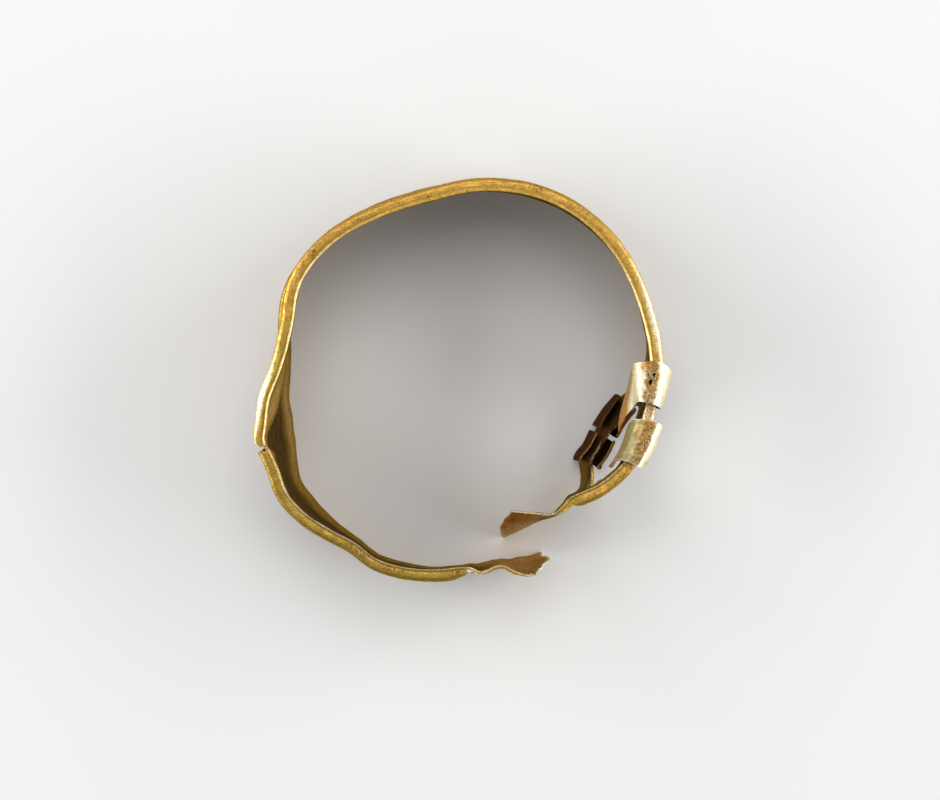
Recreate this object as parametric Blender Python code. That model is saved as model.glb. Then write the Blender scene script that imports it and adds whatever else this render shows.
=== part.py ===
# A sheet-gold band bracelet, dented, cracked and torn open, with short rolled sleeves on its rims.
# It lies on its bottom rim: the hoop's axis is Z, and the origin is under the middle of the whole.
# Angles are in degrees round the hoop, counterclockwise from +X as seen from above.

import bmesh
import bpy
import numpy as np
from mathutils import Matrix, Vector

# Driving sizes in metres
WRIST_RADIUS = 0.0305
BAND_WIDTH = 0.0240
SHEET = 0.0003
RIM_WIDTH = 0.0022
RIM_HEIGHT = 0.0014
RIM_SLIT = 0.00025
GROOVE_DEPTH = 0.0001
FLUTE_DEPTH = 0.0007
CRACK_WIDTH = 0.0006
LOSS_LENGTH = 0.0165
LOSS_HEIGHT = 0.0160
SLEEVE_WALL = 0.0003
SLEEVE_GAP = 0.0003
FLOOR_GAP = 0.0001
TOP_SLEEVE_WIDTH = 0.0066
TOP_SLEEVE_LENGTH = 0.0070
TOP_SLEEVE_LEG = 0.0060
BOTTOM_SLEEVE_WIDTH = 0.0046
BOTTOM_SLEEVE_LENGTH = 0.0066
BOTTOM_SLEEVE_LEG = 0.0044
SLEEVE_SEAM = 0.0004

# Shapes of sections, as shares
BEAD_SQUARENESS = 0.75
FLUTE_FULLNESS = 0.8
SLEEVE_SHOULDER_SHARE = 0.35
SEAM_REACH_SHARE = 0.4
LEAN_START_SHARE = 0.13

# The dented hoop: angle, and radius of the top rim's inner lip as a share of the wrist radius
DENTS = [
    (-74, 0.716), (-67, 0.757), (-60, 0.815), (-54, 0.872), (-50, 0.870), (-47, 0.862), (-43, 0.882),
    (-38, 0.921), (-30, 0.967), (-10, 1.000), (5, 1.022), (20, 1.029), (29, 1.042), (40, 1.057),
    (63, 1.052), (73, 1.030), (86, 0.992), (97, 0.956), (108, 0.945), (116, 0.949), (134, 0.975),
    (144, 0.977), (149, 0.970), (154, 0.950), (159, 0.926), (166, 0.914), (172, 0.919), (178, 0.942),
    (187, 1.007), (194, 1.047), (198, 1.075), (201, 1.065), (207, 1.065), (214, 1.087), (220, 1.080),
    (230, 1.044), (238, 1.024), (246, 1.045), (255, 1.034), (265, 1.011), (271, 0.996), (274, 1.000),
    (276.5, 1.024), (279, 1.020), (281, 1.010), (284, 1.018), (287, 1.066), (290, 1.105), (297, 1.130),
]
# How far the bottom rim stands outside the top one, as a share of the band's width
LEAN = [
    (-74, 0.240), (-67, 0.175), (-60, 0.095), (-55.5, 0.050), (-47, 0.025), (-42, 0.010), (-38, -0.080),
    (-34, -0.185), (-27, -0.225), (-18, -0.230), (-8, -0.160), (1, -0.020), (8, 0.035), (20, 0.055),
    (60, 0.055), (110, 0.075), (145, 0.070), (159, 0.085), (168, 0.045), (179, -0.020), (187, -0.080),
    (192, -0.120), (196, -0.142), (198, -0.151), (201, -0.126), (207, -0.080), (221, -0.055),
    (229, -0.015), (238, 0.018), (252, 0.020), (264, 0.035), (274, 0.025), (277.4, -0.006), (279.5, 0.0),
    (282, 0.012), (285, -0.005), (289, -0.074), (293, -0.090), (297, -0.085),
]
# How deep the wall's flutes are, as a share of their full depth. They are pulled flatter at the torn ends
FLUTE_SHARES = [(-68, 0.45), (-55, 0.5), (-38, 1.0), (270, 1.0), (292, 0.8)]
# The torn ends: share of the way down the band, and how far in degrees each end runs past its top corner
RIGHT_TEAR = [(0, 0.0), (0.25, -3.8), (0.55, -6.4), (0.85, -7.1), (1, -6.6)]
LEFT_TEAR = [(0, 0.0), (0.2, 2.0), (0.4, 3.6), (0.55, 6.5), (0.8, 6.5), (1, 5.5)]
TEAR_RIPPLE_ANGLE = 0.8

# Where things are round the hoop, in degrees
RIGHT_END = -67.5
LEFT_END = 290.0
TOP_RIM_STRETCH = (-52.0, 274.5)
BOTTOM_RIM_STRETCH = (-40.0, 273.0)
RIM_TEAR_ANGLE = 8.0
CRACK = 198.7
LOSS = -24.5
LIFTED_STRETCH = (-50.0, 12.0)

# Fineness of the sheet's mesh: degrees from station to station, and rows down the wall
STEP_ANGLE = 5.8
TORN_STEP_ANGLE = 2.6
WALL_ROWS = 8

# The top sleeves are tilted along the rim, so that their lower mouths stand open
SLEEVE_TILT_SLOPE = 0.25

# Each top sleeve, in the order of the hoop: the angle of its upper mouth and, as shares of the width of
# its kind, its width, its narrowing along the outer side, how far it stands outside the rim's middle and
# how far its wrist side turns in to the wall. As shares of its kind's length: its length, and how far the
# upper and lower mouths slant on the wrist side and on the outer side. The wrist side also leans along
# the rim, as a slope, and hangs lower at the lower mouth, as a share of the leg
TOP_SLEEVES = [
    {
        "start": 5.3, "width_share": 1.0, "taper_share": 0.155, "shift_share": -0.112, "turn_share": 0.0,
        "length_share": 0.94, "wrist_slant": (0.05, 0.09), "outer_slant": (0.22, 0.07),
        "lean_slope": 0.9, "droop_share": 0.33, "pierced": True,
    },
    {
        "start": -12.1, "width_share": 0.95, "taper_share": 0.08, "shift_share": -0.045, "turn_share": 0.15,
        "length_share": 1.03, "wrist_slant": (0.16, 0.14), "outer_slant": (0.04, -0.07),
        "lean_slope": 0.62, "droop_share": 0.0, "pierced": False,
    },
]
BOTTOM_SLEEVES = [-6.0, -20.5]
PLAIN_SLEEVE = {
    "width_share": 1.0, "taper_share": 0.0, "shift_share": 0.0, "turn_share": 0.0, "length_share": 1.0,
    "wrist_slant": (0.06, 0.06), "outer_slant": (0.06, 0.06), "lean_slope": 0.0, "droop_share": 0.0,
    "pierced": False,
}


# A smooth curve through (place, value) pairs
def curve_through(pairs):
    places, values = np.array(pairs, float).T
    slopes = np.gradient(values, places)

    def value_at(place):
        k = int(np.clip(np.searchsorted(places, place) - 1, 0, len(places) - 2))
        span = places[k + 1] - places[k]
        u = (place - places[k]) / span
        start = (1 + 2 * u) * (1 - u) ** 2 * values[k] + u * (1 - u) ** 2 * span * slopes[k]
        finish = u * u * (3 - 2 * u) * values[k + 1] - u * u * (1 - u) * span * slopes[k + 1]
        return float(start + finish)

    return value_at


dent_at = curve_through(DENTS)
lean_at = curve_through(LEAN)
flute_share_at = curve_through(FLUTE_SHARES)
right_tear_at = curve_through(RIGHT_TEAR)
left_tear_at = curve_through(LEFT_TEAR)


# The bottom rim arches over the sleeves that it carries, so that the bracelet lies on the rim itself
def lift_at(angle):
    low, high = LIFTED_STRETCH
    inside = np.clip((angle - low) / (high - low), 0, 1)
    plateau = np.clip(4 * min(inside, 1 - inside), 0, 1)
    return (SLEEVE_WALL + SLEEVE_GAP + FLOOR_GAP) * plateau**2 * (3 - 2 * plateau)


# A point of the band: angle round the hoop, distance outside the inner lip, height above the floor
def place(angle, outward, height):
    down = np.clip(1 - height / BAND_WIDTH, 0, 1)

    def lip(a):
        radius = WRIST_RADIUS * dent_at(a) + BAND_WIDTH * lean_at(a) * down
        return Vector((radius * np.cos(np.radians(a)), radius * np.sin(np.radians(a)), 0))

    along = (lip(angle + 0.5) - lip(angle - 0.5)).normalized()
    outside = along.cross(Vector((0, 0, 1)))
    return lip(angle) + outside * outward + Vector((0, 0, height + lift_at(angle) * down))


# Half of the sheet's section, from the rolled rim's free edge to the wall: (outward, down) from the lip
def rim_section():
    left = SHEET + RIM_SLIT
    reach = (RIM_WIDTH - left) / 2
    drop = RIM_HEIGHT / 2
    section = []
    for turn in np.radians([188, 232, 285, 338, 22]):
        across = np.sign(np.cos(turn)) * abs(np.cos(turn)) ** BEAD_SQUARENESS
        under = np.sign(np.sin(turn)) * abs(np.sin(turn)) ** BEAD_SQUARENESS
        section.append((left + reach * (1 + across), drop * (1 - under)))
    section.append((left + 1.45 * reach, 0))
    section.append((left + 0.5 * reach, 0))
    section.append((2 * SHEET, GROOVE_DEPTH))
    section.append((1.15 * SHEET, 0))
    section.append((0.35 * SHEET, 0.35 * SHEET))
    section.append((0, 1.3 * SHEET))
    return section


# The two lengthwise flutes of the wall, as a distance outside its inner lip
def flute_at(angle, height):
    share = np.clip(height / BAND_WIDTH, 0, 1)
    return FLUTE_DEPTH * flute_share_at(angle) * abs(np.sin(2 * np.pi * share)) ** FLUTE_FULLNESS


# The whole section across the sheet: (outward, height), from the top rim over the wall to the bottom rim.
# The wall is plain here, and its flutes are added at each station
def band_section():
    rim = rim_section()
    edge = rim[-1][1]
    heights = np.linspace(BAND_WIDTH - edge, edge, WALL_ROWS + 1)[1:-1]
    upper = [(outward, BAND_WIDTH - down) for outward, down in rim]
    return upper + [(0, height) for height in heights] + list(reversed(rim))


# Half the angle that a distance along the hoop takes up
def half_angle(distance):
    return np.degrees(distance / WRIST_RADIUS) / 2


# Angles of the stations round the hoop, with one at each stop
def stations():
    stops = [
        (TOP_RIM_STRETCH[0], 2 * TORN_STEP_ANGLE),
        (CRACK - half_angle(CRACK_WIDTH), STEP_ANGLE),
        (CRACK + half_angle(CRACK_WIDTH), STEP_ANGLE),
        (TOP_RIM_STRETCH[1], STEP_ANGLE),
        (LEFT_END, TORN_STEP_ANGLE),
    ]
    angles = [RIGHT_END]
    for stop, step in stops:
        count = max(1, round((stop - angles[-1]) / step))
        angles.extend(np.linspace(angles[-1], stop, count + 1)[1:])
    return angles


# Each row across the sheet ends where the tear has left it. The top rim's right end is torn at a slant
def torn(angle, outward, height):
    down = 1 - height / BAND_WIDTH
    ripple = TEAR_RIPPLE_ANGLE * np.sin(29 * down) * np.sin(11 * down + 1)
    right = max(0, (TOP_RIM_STRETCH[0] - angle) / (TOP_RIM_STRETCH[0] - RIGHT_END))
    left = max(0, (angle - TOP_RIM_STRETCH[1]) / (LEFT_END - TOP_RIM_STRETCH[1]))
    near = max(0, 1 - abs(angle - TOP_RIM_STRETCH[0]) / (2 * STEP_ANGLE))
    slant = RIM_TEAR_ANGLE * near * outward / RIM_WIDTH if height > BAND_WIDTH / 2 else 0
    return angle + slant + right**2 * right_tear_at(down) + left**2 * (left_tear_at(down) + ripple)


# Whether a rim is missing at this angle
def rim_lost(angle, height):
    on_top = height > BAND_WIDTH / 2
    if on_top and abs(angle - CRACK) < half_angle(CRACK_WIDTH):
        return True
    start, end = TOP_RIM_STRETCH if on_top else BOTTOM_RIM_STRETCH
    return angle < start or angle > end


# How far a point of the wall is from the middle of the lost patch, where 1 is the patch's ragged edge
def loss_ratio(angle, height):
    along = (angle - LOSS) / half_angle(LOSS_LENGTH)
    up = (2 * height - BAND_WIDTH) / LOSS_HEIGHT
    turn = np.arctan2(up, along)
    return np.hypot(along, up) / (1 + 0.07 * np.sin(3 * turn + 1) + 0.04 * np.sin(7 * turn))


# A surface from a grid of points, without the cells that are gone
def grid_surface(points, gone):
    surface = bmesh.new()
    verts = [[surface.verts.new(point) for point in row] for row in points]
    for i, j in np.argwhere(~gone):
        surface.faces.new((verts[i][j], verts[i + 1][j], verts[i + 1][j + 1], verts[i][j + 1]))
    bmesh.ops.delete(surface, geom=[v for v in surface.verts if not v.link_faces], context="VERTS")
    return surface


# An object of a surface, with its thickness on the side away from its normals
def sheet_object(name, surface, thickness, material):
    bmesh.ops.recalc_face_normals(surface, faces=surface.faces)
    mesh = bpy.data.meshes.new(name)
    surface.to_mesh(mesh)
    surface.free()
    mesh.shade_smooth()
    mesh.materials.append(material)
    made = bpy.data.objects.new(name, mesh)
    bpy.context.scene.collection.objects.link(made)
    solidify = made.modifiers.new("Thickness", "SOLIDIFY")
    solidify.thickness = thickness
    solidify.offset = -1
    solidify.use_even_offset = True
    return made


def gold(name, colour, roughness):
    material = bpy.data.materials.new(name)
    material.use_nodes = True
    shader = material.node_tree.nodes["Principled BSDF"]
    shader.inputs["Base Color"].default_value = (*colour, 1)
    shader.inputs["Metallic"].default_value = 1.0
    shader.inputs["Roughness"].default_value = roughness
    return material


# The band. Corners on the edge of the lost patch are drawn to its outline
def make_band():
    section = band_section()
    rim_rows = len(rim_section()) - 1
    wall = range(rim_rows + 1, len(section) - rim_rows - 1)
    angles = stations()
    rows = len(section)
    gone = np.zeros((len(angles) - 1, rows - 1), bool)
    patch = np.zeros_like(gone)
    for i, j in np.ndindex(gone.shape):
        angle = (angles[i] + angles[i + 1]) / 2
        height = (section[j][1] + section[j + 1][1]) / 2
        if min(j, rows - 2 - j) < rim_rows:
            gone[i, j] = rim_lost(angle, height)
        else:
            gone[i, j] = patch[i, j] = loss_ratio(angle, height) < 1
    points = []
    for i, angle in enumerate(angles):
        points.append([])
        for j, (outward, height) in enumerate(section):
            around = patch[max(i - 1, 0) : i + 1, max(j - 1, 0) : j + 1]
            bend = torn(angle, outward, height)
            if around.any() and not around.all():
                ratio = loss_ratio(angle, height)
                bend = LOSS + (angle - LOSS) / ratio
                height = BAND_WIDTH / 2 + (height - BAND_WIDTH / 2) / ratio
            if j in wall:
                outward = flute_at(angle, height)
            points[i].append(place(bend, outward, height))
    return sheet_object("band", grid_surface(points, gone), SHEET, gold("band", (0.66, 0.46, 0.16), 0.38))


# A sleeve's section: (share of half its width, up) from the middle of the rim's face, over it from leg to leg
def sleeve_section(leg, seam):
    rise = SLEEVE_WALL + SLEEVE_GAP + seam
    shoulder = SLEEVE_SHOULDER_SHARE * leg
    section = [(-0.84, -leg), (-0.98, -0.7 * leg)]
    for across in (-1, -0.94, -0.72, -0.45, -0.16, 0.16, 0.45, 0.72, 0.94, 1):
        arch = np.sqrt(1 - across**2)
        valley = seam * np.exp(-((across / SEAM_REACH_SHARE) ** 2))
        section.append((across, (rise + shoulder) * arch - shoulder - valley))
    section.extend([(0.90, -0.7 * leg), (0.66, -leg)])
    return section


# A point of a sleeve, from shares along it and across it and the height over the rim's face.
# Across counts from -1 on the wrist side to 1 on the outer side
def sleeve_point(sleeve, share, across, up):
    leg, length, width = sleeve["leg"], sleeve["length"], sleeve["width"]
    outward = RIM_WIDTH / 2 + sleeve["shift_share"] * width + across * sleeve["width_share"] * width / 2
    slant = sleeve["wrist_slant"] if across < 0 else sleeve["outer_slant"]
    along = share * sleeve["length_share"] + (slant[0] + (slant[1] - slant[0]) * share) * across**2
    along *= length
    if across < 0:
        up -= sleeve["droop_share"] * leg * (share * across) ** 2
        along += sleeve["lean_slope"] * max(0, -up - LEAN_START_SHARE * leg)
        outward += sleeve["turn_share"] * width * np.clip(-up / leg, 0, 1)
    else:
        outward -= across * sleeve["taper_share"] * width * share
    rise = up + sleeve["tilt"] * share * length
    height = BAND_WIDTH + rise if sleeve["on_top"] else -rise
    return place(sleeve["start"] - 2 * half_angle(along), outward, height)


# A sleeve over a rim. A pierced one has a hole in the seam along its top
def make_sleeve(name, sleeve, material):
    section = sleeve_section(sleeve["leg"], sleeve["seam"])
    shares = [0, 0.33, 0.52, 0.76, 1]
    points = [[sleeve_point(sleeve, share, *corner) for corner in section] for share in shares]
    gone = np.zeros((len(shares) - 1, len(section) - 1), bool)
    gone[1, len(section) // 2 - 1] = sleeve["pierced"]
    return sheet_object(name, grid_surface(points, gone), SLEEVE_WALL, material)


def make_sleeves():
    pale = gold("pale sleeves", (0.78, 0.66, 0.38), 0.34)
    stained = gold("stained sleeves", (0.30, 0.16, 0.08), 0.55)
    top = {
        "length": TOP_SLEEVE_LENGTH, "width": TOP_SLEEVE_WIDTH, "leg": TOP_SLEEVE_LEG,
        "seam": SLEEVE_SEAM, "tilt": SLEEVE_TILT_SLOPE, "on_top": True,
    }
    bottom = {
        **PLAIN_SLEEVE, "length": BOTTOM_SLEEVE_LENGTH, "width": BOTTOM_SLEEVE_WIDTH,
        "leg": BOTTOM_SLEEVE_LEG, "seam": 0, "tilt": 0, "on_top": False,
    }
    for n, sleeve in enumerate(TOP_SLEEVES, 1):
        yield make_sleeve(f"top_rim_sleeve_{n}", {**top, **sleeve}, pale)
    for n, start in enumerate(BOTTOM_SLEEVES, 1):
        yield make_sleeve(f"bottom_rim_sleeve_{n}", {**bottom, "start": start}, stained)


def main():
    for old in list(bpy.data.objects):
        bpy.data.objects.remove(old)
    made = [make_band(), *make_sleeves()]
    corners = np.array([vert.co for piece in made for vert in piece.data.vertices])
    middle = (corners.min(axis=0) + corners.max(axis=0)) / 2
    for piece in made:
        piece.data.transform(Matrix.Translation((-middle[0], -middle[1], 0)))


main()
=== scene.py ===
from types import SimpleNamespace

import bmesh
import bpy
import numpy as np
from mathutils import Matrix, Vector, noise


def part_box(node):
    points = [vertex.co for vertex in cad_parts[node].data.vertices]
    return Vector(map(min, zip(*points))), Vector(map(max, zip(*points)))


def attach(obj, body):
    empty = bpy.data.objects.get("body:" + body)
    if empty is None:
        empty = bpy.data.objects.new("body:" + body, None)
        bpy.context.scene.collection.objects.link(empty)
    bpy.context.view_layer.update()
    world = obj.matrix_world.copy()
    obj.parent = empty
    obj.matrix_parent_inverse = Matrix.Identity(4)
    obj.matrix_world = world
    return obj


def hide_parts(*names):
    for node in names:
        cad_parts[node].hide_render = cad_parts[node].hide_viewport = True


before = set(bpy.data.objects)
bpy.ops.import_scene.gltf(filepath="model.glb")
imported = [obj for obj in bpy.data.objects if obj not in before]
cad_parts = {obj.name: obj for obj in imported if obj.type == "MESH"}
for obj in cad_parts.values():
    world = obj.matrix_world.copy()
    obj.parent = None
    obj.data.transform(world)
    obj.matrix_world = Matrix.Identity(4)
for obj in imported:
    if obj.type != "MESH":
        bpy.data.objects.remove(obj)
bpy.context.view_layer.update()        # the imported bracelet, lying on its bottom rim with the hoop's axis up


# a smooth curve through (place, value) pairs, for one place or an array of them
def smoothCurve(pairs):
    places, values = np.array(pairs, float).T
    slopes = np.gradient(values, places)

    def valueAt(place):
        place = np.asarray(place, float)
        k = np.clip(np.searchsorted(places, place) - 1, 0, len(places) - 2)
        span = places[k + 1] - places[k]
        u = (place - places[k]) / span
        start = (1 + 2 * u) * (1 - u) ** 2 * values[k] + u * (1 - u) ** 2 * span * slopes[k]
        return start + u * u * (3 - 2 * u) * values[k + 1] - u * u * (1 - u) * span * slopes[k + 1]

    return valueAt


def fade(value, low, high):        # 0 below low, 1 above high, smooth between
    share = np.clip((value - low) / (high - low), 0, 1)
    return share * share * (3 - 2 * share)


def hump(value, middle, spread):
    return np.exp(-(((value - middle) / spread) ** 2))


# the dented hoop: angles in degrees, counterclockwise from +X as seen from above
hoop = {
    "wristRadius": 0.0305,        # the top rim's inner lip before its dents
    "bandWidth": 0.0240,
    "dents": [        # angle, lip radius as a share of the wrist radius
        (-74, 0.716), (-67, 0.757), (-60, 0.815), (-54, 0.872), (-50, 0.870), (-47, 0.862),
        (-43, 0.882), (-38, 0.921), (-30, 0.967), (-10, 1.000), (5, 1.022), (20, 1.029),
        (29, 1.042), (40, 1.057), (63, 1.052), (73, 1.030), (86, 0.992), (97, 0.956),
        (108, 0.945), (116, 0.949), (134, 0.975), (144, 0.977), (149, 0.970), (154, 0.950),
        (159, 0.926), (166, 0.914), (172, 0.919), (178, 0.942), (187, 1.007), (194, 1.047),
        (198, 1.075), (201, 1.065), (207, 1.065), (214, 1.087), (220, 1.080), (230, 1.044),
        (238, 1.024), (246, 1.045), (255, 1.034), (265, 1.011), (271, 0.996), (274, 1.000),
        (276.5, 1.024), (279, 1.020), (281, 1.010), (284, 1.018), (287, 1.066), (290, 1.105),
        (297, 1.130),
    ],
    "lean": [        # angle, how far the bottom rim stands outside the top one as a share of the width
        (-74, 0.240), (-67, 0.175), (-60, 0.095), (-55.5, 0.050), (-47, 0.025), (-42, 0.010),
        (-38, -0.080), (-34, -0.185), (-27, -0.225), (-18, -0.230), (-8, -0.160), (1, -0.020),
        (8, 0.035), (20, 0.055), (60, 0.055), (110, 0.075), (145, 0.070), (159, 0.085),
        (168, 0.045), (179, -0.020), (187, -0.080), (192, -0.120), (196, -0.142), (198, -0.151),
        (201, -0.126), (207, -0.080), (221, -0.055), (229, -0.015), (238, 0.018), (252, 0.020),
        (264, 0.035), (274, 0.025), (277.4, -0.006), (279.5, 0.0), (282, 0.012), (285, -0.005),
        (289, -0.074), (293, -0.090), (297, -0.085),
    ],
    "liftedStretch": (-50.0, 12.0),        # where the bottom rim arches over its sleeves
    "lift": 0.0007,
}
dentAt = smoothCurve(hoop["dents"])
leanAt = smoothCurve(hoop["lean"])
bandWidth = hoop["bandWidth"]


def lipAt(angle, down):
    radius = hoop["wristRadius"] * dentAt(angle) + bandWidth * leanAt(angle) * down
    turn = np.radians(angle)
    return np.stack([radius * np.cos(turn), radius * np.sin(turn), np.zeros_like(radius)], axis=-1)


# points of the band: angle round the hoop, distance outside the inner lip, height above the floor
def placeOnHoop(angle, outward, height):
    down = np.clip(1 - height / bandWidth, 0, 1)
    along = lipAt(angle + 0.5, down) - lipAt(angle - 0.5, down)
    along /= np.linalg.norm(along, axis=-1, keepdims=True)
    outside = np.stack([along[..., 1], -along[..., 0], np.zeros_like(down)], axis=-1)
    point = lipAt(angle, down) + outside * outward[..., None]
    low, high = hoop["liftedStretch"]
    inside = np.clip((angle - low) / (high - low), 0, 1)
    arch = fade(4 * np.minimum(inside, 1 - inside), 0, 1)
    point[..., 2] = height + hoop["lift"] * arch * down
    return point


def degreesFor(length):        # the angle that a length along the hoop takes up
    return np.degrees(length / hoop["wristRadius"])


# a flat grid with the named values on its vertices, and those vertices as grid[column][row]
def flatGrid(columns, rows, valueNames):
    mesh = bmesh.new()
    for name in [*valueNames, "edge"]:
        mesh.verts.layers.float.new(name)
    mesh.verts.layers.deform.new()
    mesh.loops.layers.uv.new("sheet")
    bmesh.ops.create_grid(mesh, x_segments=columns, y_segments=rows, size=0.5)
    key = {}
    for vert in mesh.verts:
        key[round((vert.co.x + 0.5) * columns), round((vert.co.y + 0.5) * rows)] = vert
    grid = [[key[i, j] for j in range(rows + 1)] for i in range(columns + 1)]
    return mesh, grid


# bends the flat grid into points[column, row], writes the named values, and takes away the lost cells
def bendGrid(mesh, grid, points, lost, values):
    layers = {name: mesh.verts.layers.float[name] for name in values}
    for i, column in enumerate(grid):
        for j, vert in enumerate(column):
            vert.co = points[i, j]
            for name, layer in layers.items():
                vert[layer] = float(values[name][i, j])
    for i, j in np.argwhere(lost):
        corners = {grid[i][j], grid[i + 1][j], grid[i + 1][j + 1], grid[i][j + 1]}
        face = next(f for f in grid[i][j].link_faces if set(f.verts) == corners)
        mesh.faces.remove(face)
    bmesh.ops.delete(mesh, geom=[v for v in mesh.verts if not v.link_faces], context="VERTS")
    bmesh.ops.delete(mesh, geom=[e for e in mesh.edges if not e.link_faces], context="EDGES")


def addObject(name, data):
    made = bpy.data.objects.new(name, data)
    bpy.context.scene.collection.objects.link(made)
    return made


# one sheet of gold as an object: thickness on the side away from its normals, edges kept crisp
def sheetPiece(name, mesh, thickness, material):
    floats = mesh.verts.layers.float
    edge, thin, wall, cleanAndLit = (floats[value] for value in ("edge", "thin", "wall", "cleanAndLit"))
    deform = mesh.verts.layers.deform.active
    for vert in mesh.verts:
        # sheet edges are painted bright, as wear and as highlights
        vert[edge] = (1 - 0.6 * vert[wall] * (1 - vert[cleanAndLit])) * vert.is_boundary
        vert[deform][0] = float(np.clip(1 - vert[thin], 0.2, 1))
    data = bpy.data.meshes.new(name)
    mesh.to_mesh(data)
    mesh.free()
    raw = addObject(name + "_raw", data)
    raw.vertex_groups.new(name="full")
    solidify = raw.modifiers.new("Thickness", "SOLIDIFY")
    solidify.thickness = thickness
    solidify.offset = -1
    solidify.use_even_offset = False
    solidify.thickness_clamp = 0
    solidify.vertex_group = "full"
    solid = bpy.data.meshes.new_from_object(raw.evaluated_get(bpy.context.evaluated_depsgraph_get()))
    bpy.data.objects.remove(raw)
    # the back of each sheet is darkened as painted shade
    backShade = np.zeros(len(solid.vertices))
    solid.attributes["backShade"].data.foreach_get("value", backShade)
    backShade[:len(data.vertices)] = 0        # only the back of the sheet gets this painted shade
    solid.attributes["backShade"].data.foreach_set("value", backShade)
    solid.name = name
    solid.shade_smooth()
    solid.set_sharp_from_angle(angle=np.radians(50))
    solid.materials.clear()
    solid.materials.append(material)
    piece = addObject(name, solid)
    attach(piece, "root")
    print(name, "has", sum(len(p.vertices) - 2 for p in solid.polygons), "triangles")
    return piece


# pushes each vertex along its normal by what amountAt says of it, but not into the floor
def pushAlongNormals(mesh, amountAt):
    mesh.normal_update()
    moves = [(vert, vert.normal * amountAt(vert)) for vert in mesh.verts]
    for vert, move in moves:
        vert.co += move
        vert.co.z = max(vert.co.z, 0.0)


def dent(point, size, fineness, start=(0, 0, 0)):        # a smooth unevenness of this size in metres
    return size * noise.noise(point * fineness + Vector(start))


# shader nodes: a socket in inputs is linked, anything else is set
def addNode(tree, kind, inputs, **settings):
    node = tree.nodes.new(kind)
    for name, value in settings.items():
        setattr(node, name, value)
    for name, value in inputs.items():
        if isinstance(value, bpy.types.NodeSocket):
            tree.links.new(value, node.inputs[name])
        else:
            node.inputs[name].default_value = value
    return node


def noiseOf(tree, place, scale, detail=3.0, roughness=0.55, distortion=0.0):
    inputs = {
        "Vector": place, "Scale": scale, "Detail": detail, "Roughness": roughness, "Distortion": distortion,
    }
    return addNode(tree, "ShaderNodeTexNoise", inputs).outputs["Fac"]


def between(tree, value, low, high, outLow=0.0, outHigh=1.0):
    inputs = {"Value": value, "From Min": low, "From Max": high, "To Min": outLow, "To Max": outHigh}
    return addNode(tree, "ShaderNodeMapRange", inputs, interpolation_type="SMOOTHSTEP").outputs["Result"]


def combine(tree, operation, a, b):
    return addNode(tree, "ShaderNodeMath", {0: a, 1: b}, operation=operation).outputs[0]


def times(tree, a, b):
    return combine(tree, "MULTIPLY", a, b)


def larger(tree, a, b):
    return combine(tree, "MAXIMUM", a, b)


def blendColours(tree, share, first, second):
    node = addNode(tree, "ShaderNodeMix", {0: share}, data_type="RGBA")
    for socket, colour in ((node.inputs[6], first), (node.inputs[7], second)):
        if isinstance(colour, bpy.types.NodeSocket):
            tree.links.new(colour, socket)
        else:
            socket.default_value = (*colour, 1)
    return node.outputs[2]


def attributeOf(tree, name):
    return addNode(tree, "ShaderNodeAttribute", {}, attribute_name=name).outputs["Fac"]


def brokenUp(tree, name, texture, *ends):        # a value of the mesh, made uneven by a texture
    return times(tree, attributeOf(tree, name), between(tree, texture, *ends))


def bump(tree, height, strength, distance, normal=None):
    inputs = {"Height": height, "Strength": strength, "Distance": distance}
    if normal is not None:
        inputs["Normal"] = normal
    return addNode(tree, "ShaderNodeBump", inputs).outputs[0]


def newMaterial(name):        # with its tree, shader and object coordinates
    material = bpy.data.materials.new(name)
    material.use_nodes = True
    tree = material.node_tree
    place = addNode(tree, "ShaderNodeTexCoord", {}).outputs["Object"]
    return material, tree, tree.nodes["Principled BSDF"], place
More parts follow.
